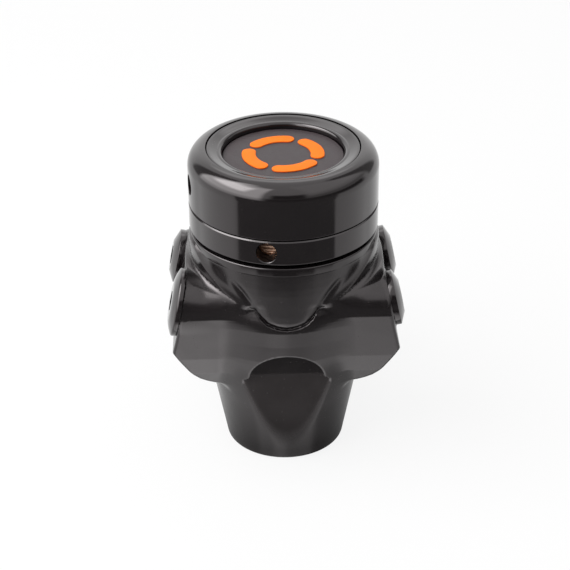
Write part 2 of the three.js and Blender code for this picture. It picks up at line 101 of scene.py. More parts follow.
class Value:
    """A number in a node tree; arithmetic on it adds Math nodes."""

    def __init__(self, nodes, socket):
        self.nodes = nodes
        self.socket = socket

    def math(self, operation, *terms):
        return self.nodes.number("ShaderNodeMath", {"operation": operation}, dict(enumerate(terms)))

    def __add__(self, other):
        return self.math("ADD", self, other)

    __radd__ = __add__

    def __mul__(self, other):
        return self.math("MULTIPLY", self, other)

    __rmul__ = __mul__

    def __sub__(self, other):
        return self.math("SUBTRACT", self, other)

    def __rsub__(self, other):
        return self.math("SUBTRACT", other, self)

    def __truediv__(self, other):
        return self.math("DIVIDE", self, other)

    def __rtruediv__(self, other):
        return self.math("DIVIDE", other, self)

    def __pow__(self, other):
        return self.math("POWER", self, other)

    def __rpow__(self, other):
        return self.math("POWER", other, self)

    def __abs__(self):
        return self.math("ABSOLUTE", self)

    def wrap(self, period):
        """Distance from the middle of a period, as a share of the period."""
        return abs(self.math("FRACT", self / period) - 0.5)

    def ramp(self, low, high, start=0.0, end=1.0):
        """Runs from start to end as the value goes from low to high, and stays level outside."""
        return self.nodes.number("ShaderNodeMapRange", {"clamp": True}, {
            "Value": self, "From Min": low, "From Max": high, "To Min": start, "To Max": end})


class Nodes:
    """A node tree, and the one way in which nodes are added to it."""

    def __init__(self, tree):
        self.tree = tree

    def node(self, kind, settings=None, inputs=None):
        """Adds a node: its settings first, then the values or links of its sockets."""
        made = self.tree.nodes.new(kind)
        for key, setting in (settings or {}).items():
            setattr(made, key, setting)
        for key, given in (inputs or {}).items():
            self.plug(made.inputs[key], given)
        return made

    def plug(self, socket, given):
        """Links a value or another socket to a socket, or sets its number or colour."""
        if isinstance(given, Value):
            given = given.socket
        if isinstance(given, bpy.types.NodeSocket):
            self.tree.links.new(given, socket)
        elif socket.type == "RGBA":
            socket.default_value = (*given, 1)
        else:
            socket.default_value = given

    def number(self, kind, settings=None, inputs=None, output=0):
        """Adds a node and hands over one of its outputs as a Value."""
        return Value(self, self.node(kind, settings, inputs).outputs[output])


class Finish(Nodes):
    """A material with one Principled shader."""

    SOCKETS = {"base_color": "Base Color", "ior": "IOR", "specular": "Specular IOR Level",
               "tint": "Specular Tint", "glow": "Emission Color", "glow_strength": "Emission Strength"}

    def __init__(self, name):
        self.material = bpy.data.materials.new(name)
        self.material.use_nodes = True
        super().__init__(self.material.node_tree)
        self.shader = self.tree.nodes["Principled BSDF"]
        self.output = self.tree.nodes["Material Output"]
        self.place = self.node("ShaderNodeTexCoord").outputs["Object"]

    def xyz(self):
        """The three coordinates of a point in millimetres."""
        parts = self.node("ShaderNodeSeparateXYZ", None, {"Vector": self.place})
        return [Value(self, parts.outputs[k]) * 1000 for k in range(3)]

    def stretched(self, scale):
        """The place, scaled differently along each axis."""
        return self.node("ShaderNodeMapping", None, {"Vector": self.place, "Scale": scale}).outputs[0]

    def noise(self, size, detail=2.0, vector=None):
        """Soft noise around 0.5 whose blotches are about size millimetres wide."""
        return self.number("ShaderNodeTexNoise", None, {
            "Vector": vector or self.place, "Scale": 1000 / size, "Detail": detail}, "Fac")

    def cells(self, size):
        """Distance to the nearest of scattered points about size millimetres apart."""
        return self.number("ShaderNodeTexVoronoi", None, {
            "Vector": self.place, "Scale": 1000 / size}, "Distance")

    def mix(self, mask, low, high):
        """Colour low where the mask is 0 and high where it is 1."""
        return self.node("ShaderNodeMix", {"data_type": "RGBA"}, {0: mask, 6: low, 7: high}).outputs[2]

    def bump(self, height, depth, onto=None):
        """Normal of a surface raised by height times depth millimetres."""
        inputs = {"Height": height, "Distance": depth * MM, "Strength": 1.0}
        if onto is not None:
            inputs["Normal"] = onto
        return self.node("ShaderNodeBump", None, inputs).outputs[0]

    def cover(self, mask, shader):
        """Shows another shader where the mask is 1."""
        both = self.node("ShaderNodeMixShader", None, {
            0: mask, 1: self.shader.outputs[0], 2: shader.outputs[0]})
        self.plug(self.output.inputs["Surface"], both.outputs[0])

    def set(self, **sockets):
        """Sets or links the shader's sockets: base_color, roughness, metallic, normal and so on."""
        for key, given in sockets.items():
            self.plug(self.shader.inputs[self.SOCKETS.get(key, key.capitalize())], given)
        return self.material


# ------------------------ finishes

def plated_black(name, waviness, gloss, painted_shade_below=0):
    """Gloss black plating over brass: a dark clear mirror with soft waves, hairlines and specks.

    From a given height, in millimetres, down to the foot, a dark matt coat is mixed in. This is painted
    shade that stands for the floor's contact shadow reflected in the gloss.
    The plating is also greyer in the milled front pocket."""
    f = Finish(name)
    cloud = f.noise(9, 3)
    hair = f.noise(0.5, 2, vector=f.stretched((1, 1, 0.05)))
    specks = f.cells(1.7).ramp(0.05, 0.09, 1, 0)
    rough = gloss + cloud.ramp(0.35, 0.7, 0, 0.05) + hair.ramp(0.6, 0.75, 0, 0.03) + specks * 0.2
    color = f.mix(cloud.ramp(0.3, 0.7), (0.0042, 0.0032, 0.0035), (0.0058, 0.0045, 0.0048))
    color = f.mix(specks * 0.5, color, (0.016, 0.015, 0.0145))
    waves = f.bump(f.noise(7, 1), 0.05 * waviness)
    skin = f.bump(f.noise(0.8, 2), 0.0012, waves)
    if painted_shade_below:
        x, y, z = f.xyz()
        # painted shade: a dark matt coat towards the foot, for the shadowed floor that the gloss would
        # reflect there
        painted_foot_shade = f.node("ShaderNodeBsdfDiffuse", None, {"Color": (0.004, 0.0035, 0.0036)})
        f.cover(z.ramp(3, painted_shade_below, 0.62, 0), painted_foot_shade)
        back_wall = abs(y - POCKET_Y).ramp(0.05, 0.2, 1, 0)
        milled = back_wall * abs(x).ramp(11, 11.4, 1, 0) * z.ramp(27.5, 28, 1, 0)
        color = f.mix(milled, color, (0.018, 0.0155, 0.0157))
    return f.set(base_color=color, roughness=rough, normal=skin, ior=1.5, tint=(1.0, 0.94, 0.95))


def moulded_rubber(name, low, high, gloss):
    """Matt rubber with a fine moulded grain and a little bloom."""
    f = Finish(name)
    cloud = f.noise(5, 4)
    grain = f.cells(0.32)
    color = f.mix(cloud.ramp(0.3, 0.7), low, high)
    rough = gloss + cloud.ramp(0.3, 0.7, 0, 0.1) + grain * 0.08
    return f.set(base_color=color, roughness=rough, normal=f.bump(grain, 0.02), specular=0.4)


def orange_inlay():
    """Bright orange rubber of the raised marks, with painted shade on their sides: darker towards the lower
    edge.
    """
    f = Finish("orange_rubber")
    height = f.xyz()[2]
    cloud = f.noise(1.6, 3)
    top = f.mix(cloud.ramp(0.3, 0.7), (0.68, 0.128, 0.0008), (0.68, 0.142, 0.001))
    # painted shade: the side walls below the top are coloured darker than the top
    color = f.mix(height.ramp(81.95, 82.2), (0.4, 0.04, 0.002), top)
    rough = 0.5 + cloud * 0.12
    return f.set(base_color=color, roughness=rough, normal=f.bump(f.cells(0.3), 0.008), specular=0.12)


def turned_metal(name, color, dark, gloss, pitch, axis, ridge=0.004):
    """Machined metal with tool rings square to an axis (0, 1 or 2) and a light tarnish."""
    f = Finish(name)
    along = f.xyz()[axis] + f.noise(3, 1) * 0.05
    rings = (along.wrap(pitch) * 2).ramp(0, 1)
    cloud = f.noise(4, 4)
    tone = f.mix(cloud.ramp(0.35, 0.75), color, dark)
    rough = gloss + cloud.ramp(0.3, 0.7, 0, 0.12) + rings * 0.06
    return f.set(base_color=tone, roughness=rough, metallic=1.0, normal=f.bump(rings, ridge))


def sintered_bronze():
    """Pressed bronze grains, dark between them."""
    f = Finish("sintered_bronze")
    grain = f.cells(0.22)
    color = f.mix(grain.ramp(0.1, 0.6), (0.34, 0.2, 0.1), (0.07, 0.04, 0.025))
    return f.set(base_color=color, roughness=0.5 + grain * 0.3, metallic=1.0,
                 normal=f.bump(1 - grain, 0.06))


def plain_plastic():
    """White moulded plastic with faint flow marks."""
    f = Finish("white_plastic")
    flow = f.noise(3, 3, vector=f.stretched((1, 1, 0.3)))
    color = f.mix(flow.ramp(0.35, 0.7), (0.8, 0.78, 0.73), (0.7, 0.68, 0.62))
    return f.set(base_color=color, roughness=0.4 + flow * 0.15, normal=f.bump(flow, 0.01))


def grip_plastic():
    """Black handwheel plastic with spark-eroded grain, worn smoother on the lobes' crests."""
    f = Finish("grip_plastic")
    x, y, z = f.xyz()
    up = z - INLET_Z
    worn = ((x * x + up * up) ** 0.5).ramp(20.6, 22)
    grain = f.noise(0.35, 3)
    color = f.mix(f.noise(6, 3).ramp(0.3, 0.7), (0.016, 0.015, 0.016), (0.028, 0.026, 0.027))
    rough = 0.56 - worn * 0.16 + grain * 0.1
    return f.set(base_color=color, roughness=rough, normal=f.bump(grain * (1 - worn * 0.6), 0.03))


SHELL = plated_black("black_shell", waviness=0.2, gloss=0.07)
# the forged body gets painted shade from 18 mm down to the foot
FORGED = plated_black("black_shell_forged", waviness=1.0, gloss=0.2, painted_shade_below=18)
RUBBER = moulded_rubber("black_rubber", (0.013, 0.008, 0.0095), (0.018, 0.012, 0.0135), gloss=0.5)
ORANGE = orange_inlay()
BRASS = turned_metal("brass", (0.62, 0.42, 0.17), (0.42, 0.26, 0.1), gloss=0.28, pitch=0.35, axis=2)
# painted shade: a darker, less saturated copy of the brass for the ends of the spanner holes, which lie in
# shadow
SHADED_HOLE_BRASS = turned_metal("drilled_brass_painted_shade", (0.5, 0.33, 0.24), (0.26, 0.16, 0.11),
                          gloss=0.3, pitch=0.9, axis=2, ridge=0.12)
STEEL = turned_metal("steel", (0.56, 0.57, 0.59), (0.44, 0.45, 0.47),
                     gloss=0.26, pitch=0.3, axis=1, ridge=0.002)
SPRING_STEEL = turned_metal("spring_steel", (0.5, 0.5, 0.52), (0.36, 0.36, 0.38),
                            gloss=0.25, pitch=0.5, axis=2)
BRONZE = sintered_bronze()
WHITE = plain_plastic()
GRIP = grip_plastic()


# ------------------------ mesh helpers

def add_object(name, mesh, slot, *materials):
    """Puts a mesh in the scene with its materials; the slot is not used."""
    obj = bpy.data.objects.new(name, mesh)
    bpy.context.scene.collection.objects.link(obj)
    for material in materials:
        mesh.materials.append(material)
    return obj


def mesh_from(name, points, faces, smooth_angle=None, normals=None):
    """Mesh in metres from points in millimetres, smooth but for edges sharper than an angle."""
    mesh = bpy.data.meshes.new(name)
    mesh.from_pydata((np.asarray(points) * MM).tolist(), [], [list(map(int, f)) for f in faces])
    mesh.validate()
    shade(mesh, smooth_angle)
    if normals is not None:
        mesh.normals_split_custom_set_from_vertices(normals.tolist())
    return mesh


def shade(mesh, smooth_angle=None):
    """Smooth shading, but for edges sharper than an angle in degrees."""
    mesh.polygons.foreach_set("use_smooth", [True] * len(mesh.polygons))
    if smooth_angle is not None:
        mesh.set_sharp_from_angle(angle=math.radians(smooth_angle))
    mesh.update()


def arc(cx, cy, radius, a, b, steps=6):
    """Points of an arc in a profile, from angle a to angle b in degrees."""
    t = np.radians(np.linspace(a, b, steps + 1))
    return [(cx + radius * math.cos(v), cy + radius * math.sin(v)) for v in t]


def rounded(profile, radius, steps=3):
    """Profile with each of its corners rounded off, as far as the sides allow."""
    out = []
    count = len(profile)
    for k in range(count):
        before, here, after = (np.array(profile[(k + s) % count], float) for s in (-1, 0, 1))
        if here[0] < 1e-9:
            out.append(tuple(here))
            continue
        u, v = before - here, after - here
        lu, lv = np.linalg.norm(u), np.linalg.norm(v)
        u, v = u / lu, v / lv
        angle = math.acos(max(-1, min(1, float(u @ v))))
        if angle > math.radians(150):
            out.append(tuple(here))
            continue
        reach = min(radius / math.tan(angle / 2), 0.45 * lu, 0.45 * lv)
        start, end = here + u * reach, here + v * reach
        for t in np.linspace(0, 1, steps + 1):
            out.append(tuple((1 - t) ** 2 * start + 2 * t * (1 - t) * here + t * t * end))
    return out


def turned(profile, segments=96, reach=None):
    """Points and faces of a closed turned solid about +Z. reach(angles) limits the radius, for
    lobes and flats; edges near the widest radius keep their distance from it."""
    angles = np.arange(segments) * TAU / segments
    limit = reach(angles) if reach else None
    points, rings = [], []
    for radius, height in profile:
        if radius < 1e-9:
            rings.append([len(points)])
            points.append((0, 0, height))
            continue
        r = np.full(segments, float(radius))
        if limit is not None:
            edge = limit.max() - radius if radius > 0.8 * limit.max() else 0
            r = soft_min(r, limit - edge, 0.5)
        rings.append(list(range(len(points), len(points) + segments)))
        points += list(zip(r * np.cos(angles), r * np.sin(angles), np.full(segments, height)))
    faces = []
    pairs = list(zip(rings, rings[1:]))
    if len(rings[0]) > 1 and len(rings[-1]) > 1:
        pairs.append((rings[-1], rings[0]))
    for low, high in pairs:
        for k in range(segments):
            spots = ((low, k), (low, k + 1), (high, k + 1), (high, k))
            face = tuple(dict.fromkeys(ring[spot % len(ring)] for ring, spot in spots))
            if len(face) > 2:
                faces.append(face)
    return np.array(points, float), faces


def aimed(points, direction, at):
    """Points turned from +Z to a direction, then moved."""
    turn = Vector((0, 0, 1)).rotation_difference(Vector(direction)).to_matrix()
    return np.asarray(points) @ np.array(turn).T + np.asarray(at, float)


def turned_piece(name, profile, slot, material, body, nodes, direction=(0, 0, 1), at=(0, 0, 0),
                 segments=96, angle=35, reach=None):
    """Turned solid that takes the place of some nodes; with no body, it is left unattached."""
    points, faces = turned(profile, segments, reach)
    obj = add_object(name, mesh_from(name, aimed(points, direction, at), faces, angle), slot, material)
    outward(obj.data)
    if body:
        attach(obj, body)
    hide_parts(*nodes)
    return obj


def outward(mesh):
    """Turns all faces outwards."""
    work = bmesh.new()
    work.from_mesh(mesh)
    bmesh.ops.recalc_face_normals(work, faces=work.faces)
    work.to_mesh(mesh)
    work.free()
    mesh.update()


def carved(obj, cutters):
    """Takes the cutters out of an object's mesh and throws them away."""
    for tool in cutters:
        step = obj.modifiers.new("cut", "BOOLEAN")
        step.object = tool
        step.operation = "DIFFERENCE"
        step.solver = "EXACT"
        step.material_mode = "TRANSFER"
    graph = bpy.context.evaluated_depsgraph_get()
    graph.update()
    mesh = bpy.data.meshes.new_from_object(obj.evaluated_get(graph))
    obj.modifiers.clear()
    old = obj.data
    obj.data = mesh
    bpy.data.meshes.remove(old)
    for tool in cutters:
        bpy.data.objects.remove(tool)


def cutter(name, points, faces, material):
    """Closed solid for carved to take away; its material goes on the cut faces."""
    mesh = mesh_from(name, points, faces)
    obj = bpy.data.objects.new(name, mesh)
    mesh.materials.append(material)
    outward(mesh)
    bpy.context.scene.collection.objects.link(obj)
    return obj


def quads_round(rows, count, closed=False):
    """Quads between rows of count points that each go once round; closed joins last to first."""
    faces = []
    for row in range(rows if closed else rows - 1):
        here, above = row * count, (row + 1) % rows * count
        for k in range(count):
            m = (k + 1) % count
            faces.append((here + k, here + m, above + m, above + k))
    return faces


def end_faces(rows, count):
    """Faces that close the first row and the last."""
    return [tuple(reversed(range(count))), tuple(range((rows - 1) * count, rows * count))]


def prism(corners, low, high):
    """Points and faces of an upright prism."""
    points = [(x, y, z) for z in (low, high) for x, y in corners]
    return np.array(points, float), end_faces(2, len(corners)) + quads_round(2, len(corners))


def hexagon(flats):
    """Corners of a hexagon from its size across flats."""
    corner = flats / math.sqrt(3)
    return [(corner * math.cos(t), corner * math.sin(t)) for t in np.arange(6) * TAU / 6]


# ------------------------ body as a distance field

def soft_min(a, b, k):
    """Smaller of two distances, with a fillet of about k where they meet."""
    h = np.clip(0.5 + 0.5 * (b - a) / k, 0, 1)
    return b * (1 - h) + a * h - k * h * (1 - h)


def soft_max(a, b, k):
    """Larger of two distances, with an edge rounded by about k."""
    return -soft_min(-a, -b, k)


def outline_distance(corners, u, v):
    """Signed distance to a closed outline in a plane, negative inside."""
    best = np.full(u.shape, 1e9)
    inside = np.zeros(u.shape, bool)
    for (x0, y0), (x1, y1) in zip(corners, corners[1:] + corners[:1]):
        ex, ey = x1 - x0, y1 - y0
        wx, wy = u - x0, v - y0
        t = np.clip((wx * ex + wy * ey) / (ex * ex + ey * ey + 1e-12), 0, 1)
        best = np.minimum(best, (wx - ex * t) ** 2 + (wy - ey * t) ** 2)
        crosses = (y0 <= v) != (y1 <= v)
        inside ^= crosses & (wx * ey * np.sign(ey + 1e-12) < wy * ex * np.sign(ey + 1e-12))
    return np.where(inside, -1, 1) * np.sqrt(best)


def path_distance(path, u, v):
    """Distance to an open path in a plane."""
    best = np.full(u.shape, 1e9)
    for (x0, y0), (x1, y1) in zip(path, path[1:]):
        ex, ey = x1 - x0, y1 - y0
        t = np.clip(((u - x0) * ex + (v - y0) * ey) / (ex * ex + ey * ey), 0, 1)
        best = np.minimum(best, np.hypot(u - x0 - ex * t, v - y0 - ey * t))
    return best


def about(points, direction, at):
    """Height along an axis and distance from it."""
    x, y, z = points
    d = np.asarray(direction, float)
    along = (x - at[0]) * d[0] + (y - at[1]) * d[1] + (z - at[2]) * d[2]
    square = (x - at[0]) ** 2 + (y - at[1]) ** 2 + (z - at[2]) ** 2 - along ** 2
    return along, np.sqrt(np.maximum(square, 0))


def cone(points, radius, taper, low, direction, at):
    """Distance to a boss that loses taper of radius for each millimetre below its face."""
    along, away = about(points, direction, at)
    return np.maximum(away - radius - taper * along, np.maximum(low - along, along))


def drill(points, steps, direction, at):
    """Distance to a stepped hole or boss: (radius, depth from, depth to) along an axis."""
    along, radius = about(points, direction, at)
    best = None
    for r, low, high in steps:
        hole = np.maximum(radius - r, np.maximum(low - along, along - high))
        best = hole if best is None else np.minimum(best, hole)
    return best


def port_at(side, row, spot, tilt):
    """Axis and face of a port, tilted up from the side by an angle in degrees."""
    t = math.radians(tilt)
    return (side * math.cos(t), 0, math.sin(t)), (side * spot[0], row * spot[1], spot[2])


def low_port(side, row):
    """Axis and face of a low pressure port."""
    return port_at(side, row, PORT, PORT_TILT)


def high_port(side):
    """Axis and face of a high pressure port."""
    return port_at(side, 0, HIGH_PORT, HIGH_PORT_TILT)


def wide_port(side, row):
    """Whether a low pressure port is the wide one, at the front left."""
    return side < 0 and row < 0


def stem_radius(z):
    """Radius of the tapered stem at a height."""
    return FOOT_R + TAPER * z


def side_x(z):
    """Half width of the wings at a height, in the plane of the low pressure ports' faces."""
    return PORT[0] - (z - PORT[2]) * math.tan(math.radians(PORT_TILT))


def mirrored(half, skip=0):
    """Closed outline from its right half; skip leaves out points on the middle line."""
    return half + [(-u, v) for u, v in reversed(half[skip:])]


# half profiles of the barrel and of the stem, as (radius, height)
BOWL = [(0, 39.6), (19.5, 40.2), (21.5, 42), (22.35, 44), (22.64, 46), (22.82, 48), (22.98, 50),
        (23.14, 52), (23.3, 54), (23.43, 56), (23.53, 58), (23.62, 60.1), (23.55, 60.6), (23.1, 61.2),
        (22.6, 62), (0, 62)]
STEM = ([(0, 0)] + arc(FOOT_R + TAPER * 0.9 - 0.9, 0.9, 0.9, -90, -8, 6)
        + [(stem_radius(3), 3), (stem_radius(34), 34), (22.5, 39), (23.1, 43.5)]
        + arc(17.6, 44.3, 5.5, 0, 78, 10) + [(15, 50.6), (0, 50.6)])
# outlines as the front is seen, (x, z): where the barrel reaches down, its groove, pocket and wings
TONGUE = mirrored([(0, 44.1), (2.5, 44.5), (4.8, 45.3), (6.5, 46.8), (8, 49), (9.2, 49.6), (13, 49.9),
                   (17, 51.4), (27, 55), (27, 90)], 1)
GROOVE_SIDE = [(7.3, 48), (8, 49.2), (9.1, 51.2), (10.6, 53.6), (12.9, 56.8)]
POCKET = ([(-11, 0), (11, 0), (11.2, 24), (10.9, 26.2), (9.6, 27.2)] + arc(0, 26.2, 9.6, 6, 174, 24)
          + [(-9.6, 27.2), (-10.9, 26.2), (-11.2, 24)])
WINGS = mirrored([(0, 21.2), (14, 21.6), (18.4, 22.7), (20.6, 23.6), (22.5, 24.8), (24, 26.4), (25.1, 28),
                  (27, 31.2), (side_x(34.9), 34.9), (side_x(BODY_TOP), BODY_TOP)], 1)
# section of the wings from the side, (y, z), with a shoulder round like an ellipse
SHOULDER = [(14.2 + 5.8 * math.cos(a), 46.7 + 6.1 * math.sin(a))
            for a in np.radians(np.linspace(0, 50, 20))]
SECTION = mirrored([(9.5, 18), (13.2, 23), (15.6, 27.6), (17.4, 33), (20, 45.9), *SHOULDER, (6.5, 60.4)])


def body_forms(x, y, z):
    """Signed distance to the body's outside: stem, wings, barrel, pads, collars and inlet boss."""
    stem = outline_distance(STEM, np.hypot(x, y), z)
    bowl = outline_distance(BOWL, np.hypot(x, y), z)
    edge = 0.9 + 1.6 * np.clip((z - 51) / 5, 0, 1)
    wings = soft_max(outline_distance(SECTION, y, z), outline_distance(WINGS, x, z), edge)
    whole = soft_min(stem, wings, 2.2 + 0.8 * np.clip((z - 22) / 9, 0, 1))
    # the barrel's tongue overlaps the stem, with an edge that is rounder near the middle
    tongue = outline_distance(TONGUE, x, z)
    whole = soft_max(whole, -np.maximum(tongue, -bowl - 1), 0.3)
    roll = 1.2 + 2.2 * np.clip((z - 45) / 5, 0, 1) * np.clip((9 - abs(x)) / 3, 0, 1)
    t = np.clip((abs(x) - 8) / 12, 0, 1)
    fillet = 0.4 + 1.2 * np.clip((abs(x) - 8) / 2, 0, 1) + 3 * t * t * (3 - 2 * t)
    whole = soft_min(whole, soft_max(bowl, tongue, roll), fillet)
    # the groove beside it fades out at both ends
    deep = 0.95 * np.clip((57.5 - z) / 6, 0, 1) * np.clip((z - 49) / 5, 0, 1) * np.clip(-y / 4, 0, 1)
    whole = whole + deep * np.exp(-(path_distance(GROOVE_SIDE, abs(x), z) / 0.85) ** 2)
    for side, _ in SIDES:
        whole = soft_min(whole, drill((x, y, z), [(8.8, -12, 0)], *high_port(side)), 2.0)
        for row, _ in ROWS:
            collar = 7.9 if wide_port(side, row) else 7.0
            whole = soft_min(whole, cone((x, y, z), collar, 0.14, -10, *low_port(side, row)), 1.2)
    return soft_min(whole, drill((x, y, z), [(12.5, 4, 25)], *INLET), 1.6)


def body_holes(x, y, z):
    """Distance to the main bore, the inlet bore and the six port holes."""
    holes = drill((x, y, z), [(7.3, 15, 51), (14.5, 51, 57.5), (20.5, 57.5, 64)], (0, 0, 1), (0, 0, 0))
    inlet = drill((x, y, z), [(3, 0, 14), (7.9, 13, 24), (9.8, 23.3, 27)], *INLET)
    holes = np.minimum(holes, inlet)
    for side, _ in SIDES:
        for row, _ in ROWS:
            wide = 1.5 if wide_port(side, row) else 0
            steps = [(3, -18, -9), (4.9 + wide, -9.5, 0), (6.35 + 0.6 * wide, -1.7, 3)]
            holes = np.minimum(holes, drill((x, y, z), steps, *low_port(side, row)))
        steps = [(2, -22, -8), (5.1, -8.5, 0), (6.55, -1.7, 3)]
        holes = np.minimum(holes, drill((x, y, z), steps, *high_port(side)))
    return holes


def body_field(x, y, z):
    """Signed distance, roughly in millimetres, to the forged and machined body."""
    pocket = np.maximum(outline_distance(POCKET, x, z), y - POCKET_Y)
    whole = soft_max(body_forms(x, y, z), -pocket, 0.6)
    return soft_max(whole, -body_holes(x, y, z), 0.15)


def slope(field, p, eps=0.02):
    """Gradient of a field at a list of points."""
    g = np.empty_like(p)
    for k in range(3):
        step = np.zeros(3)
        step[k] = eps
        g[:, k] = (field(*(p + step).T) - field(*(p - step).T)) / (2 * eps)
    return g


def skin_of(field, low, high, cell):
    """Points, quads and normals of the surface where a field is zero: one point in each cell
    that the surface crosses, a quad round each edge that it crosses, then points drawn to it."""
    axes = [np.arange(a, b + cell, cell) for a, b in zip(low, high)]
    d = np.empty([len(a) for a in axes])
    gx, gy = np.meshgrid(axes[0], axes[1], indexing="ij")
    for k, z in enumerate(axes[2]):
        d[:, :, k] = field(gx, gy, np.full_like(gx, z))
    solid = d < 0
    total = np.zeros([n - 1 for n in d.shape])
    spots = np.zeros([n - 1 for n in d.shape] + [3])
    shape = total.shape
    for axis in range(3):
        for i in (0, 1):
            for j in (0, 1):
                offset = [i, j]
                offset.insert(axis, 0)
                step = [0, 0, 0]
                step[axis] = 1
                a = d[tuple(slice(o, o + n) for o, n in zip(offset, shape))]
                b = d[tuple(slice(o + s, o + s + n) for o, s, n in zip(offset, step, shape))]
                crosses = (a < 0) != (b < 0)
                share = np.where(crosses, a / np.where(crosses, a - b, 1), 0)
                total += crosses
                for c in range(3):
                    spots[..., c] += crosses * (share if c == axis else offset[c])
    cells = total > 0
    number = np.full(shape, -1)
    number[cells] = np.arange(cells.sum())
    index = np.argwhere(cells)
    points = (index + spots[cells] / total[cells][:, None]) * cell + np.array(low)
    quads = []
    for axis in range(3):
        u, v = (axis + 1) % 3, (axis + 2) % 3
        inner = [slice(1, -1)] * 3
        inner[axis] = slice(0, -1)
        ahead = [slice(1, -1)] * 3
        ahead[axis] = slice(1, None)
        change = solid[tuple(inner)].astype(int) - solid[tuple(ahead)]
        for sign in (1, -1):
            at = np.argwhere(change == sign)
            at[:, u] += 1
            at[:, v] += 1
            corners = []
            for du, dv in ((0, 0), (1, 0), (1, 1), (0, 1)):
                c = at.copy()
                c[:, u] -= du
                c[:, v] -= dv
                corners.append(number[tuple(c.T)])
            face = np.stack(corners, 1)
            quads.append(face if sign > 0 else face[:, ::-1])
    quads = np.concatenate(quads)
    quads = quads[(quads >= 0).all(1)]
    for _ in range(4):
        g = slope(field, points)
        away = field(*points.T) / np.maximum((g * g).sum(1), 0.2)
        points -= np.clip(away, -0.4 * cell, 0.4 * cell)[:, None] * g
    g = slope(field, points)
    return points, quads, g / np.maximum(np.linalg.norm(g, axis=1, keepdims=True), 1e-6)


def make_body():
    """Body drawn from its field, with the field's own normals."""
    cell = 0.45
    low, high = (-31.3, -25.1, -1.2), (31.3, 26.3, 63.6)
    points, quads, normals = skin_of(body_field, low, high, cell)
    mesh = mesh_from("body_skin", points, quads, None, normals)
    obj = add_object("body_skin", mesh, "black_shell", FORGED)
    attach(obj, "housing")
    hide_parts("body")


make_body()

turned_piece("body_rim",
             [(20.8, 60.4), (23.2, 60.4), (23.45, 59.2), (23.55, 59.3), (23.62, 60.3), (23.72, 61.8)]
             + arc(23.32, BODY_TOP - 0.4, 0.4, 0, 90, 6) + [(20.8, BODY_TOP)],
             "black_shell", SHELL, "housing", ["body"], segments=192, angle=50)


# ------------------------ clamp ring and cap

def spanner_cutters(name, angle, z):
    """Two opposite pin spanner holes: plated walls and a bare brass end, in brass darkened as painted
    shade.
    """
    wall = [(0, -4), (2.6, -4), (2.6, -0.15), (3.35, 0.6), (0, 0.6)]
    end = [(0, -4.9), (2.3, -4.9), (2.5, -4.7), (2.5, -3.9), (0, -3.9)]
    out = []
    for k, turn in enumerate((angle, angle + 180)):
        t = math.radians(turn)
        axis = (math.cos(t), math.sin(t), 0)
        for part, profile, material in (("wall", wall, SHELL), ("end", end, SHADED_HOLE_BRASS)):
            points, faces = turned(profile, 40)
            placed = aimed(points, axis, (SHELL_R * axis[0], SHELL_R * axis[1], z))
            out.append(cutter(f"{name}_{part}_{k}", placed, faces, material))
    return out


def wall_normal(r, z):
    """Normal of the outer wall and its round edge as (out, up), or None on other surfaces."""
    if z > CAP_EDGE_Z and r > CAP_EDGE_R:
        u, v = r - CAP_EDGE_R, z - CAP_EDGE_Z
        length = math.hypot(u, v)
        return u / length, v / length
    return (1, 0) if r > SHELL_R - 0.01 else None


def turned_normals(mesh):
    """Gives a carved ring the normals of its uncut surface where they agree."""
    normals = []
    for face in mesh.polygons:
        for corner in face.loop_indices:
            p = mesh.vertices[mesh.loops[corner].vertex_index].co
            r = math.hypot(p.x, p.y)
            out = Vector((p.x / r, p.y / r, 0)) if r > 1e-9 else Vector((0, 0, 1))
            smooth = wall_normal(r / MM, p.z / MM)
            if smooth is None or face.material_index == 1:
                normals.append(face.normal)
            else:
                n = out * smooth[0] + Vector((0, 0, smooth[1]))
                normals.append(n if n.dot(face.normal) > 0.9 else face.normal)
    shade(mesh)
    mesh.normals_split_custom_set([tuple(n) for n in normals])


def make_shell_ring(name, profile, holes, node):
    """Turned ring of the shell with its spanner holes cut in."""
    points, faces = turned(profile, 192)
    obj = add_object(name, mesh_from(name, points, faces), "black_shell", SHELL, SHADED_HOLE_BRASS)
    outward(obj.data)
    carved(obj, holes)
    turned_normals(obj.data)
    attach(obj, "housing")
    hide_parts(node)


CLAMP_TOP, CAP_LOW = 69.85, 70.15
make_shell_ring("clamp_ring_skin", rounded(
    [(16.2, 59.5), (20.2, 59.5), (20.2, 62.6), (22.5, 62.6), (22.5, 63.4), (23.6, 63.4), (23.8, 63.45),
     (23.94, 63.6), (24, 63.8), (24, CLAMP_TOP - 0.3), (23.7, CLAMP_TOP), (20.2, CLAMP_TOP),
     (20.2, 78.4), (19.7, 78.9), (16.2, 78.9)], 0.08, 2),
    spanner_cutters("clamp_hole", -102, 66.7), "clamp_ring")
make_shell_ring("cap_skin", (
    [(20.5, CAP_LOW), (23.68, CAP_LOW)] + arc(23.65, CAP_LOW + 0.35, 0.35, -85, 0, 4)
    + [(24, 72), (24, 75), (24, 78)] + arc(CAP_EDGE_R, CAP_EDGE_Z, CAP_EDGE, 0, 90, 28)
    + [(19.5, 84.2), (19.5, 80.5), (16.4, 80.5), (16.4, 79.2), (20.5, 79.2)]),
    spanner_cutters("cap_hole", 190, 76), "end_cap")

turned_piece("retaining_ring_skin",
             [(15.3, 81.6), (19.2, 81.6), (19.2, 83.85)] + arc(18.95, 83.85, 0.25, 0, 90, 4)
             + [(18.4, 83.98), (17.8, 83.79), (17.2, 83.6), (16.8, 83.5)]
             + arc(16.2, 82.58, 0.9, 68, 180, 10) + [(15.3, 82.2)],
             "black_shell", SHELL, "housing", ["retaining_ring"], segments=160, angle=40)


# ------------------------ membrane and its marks

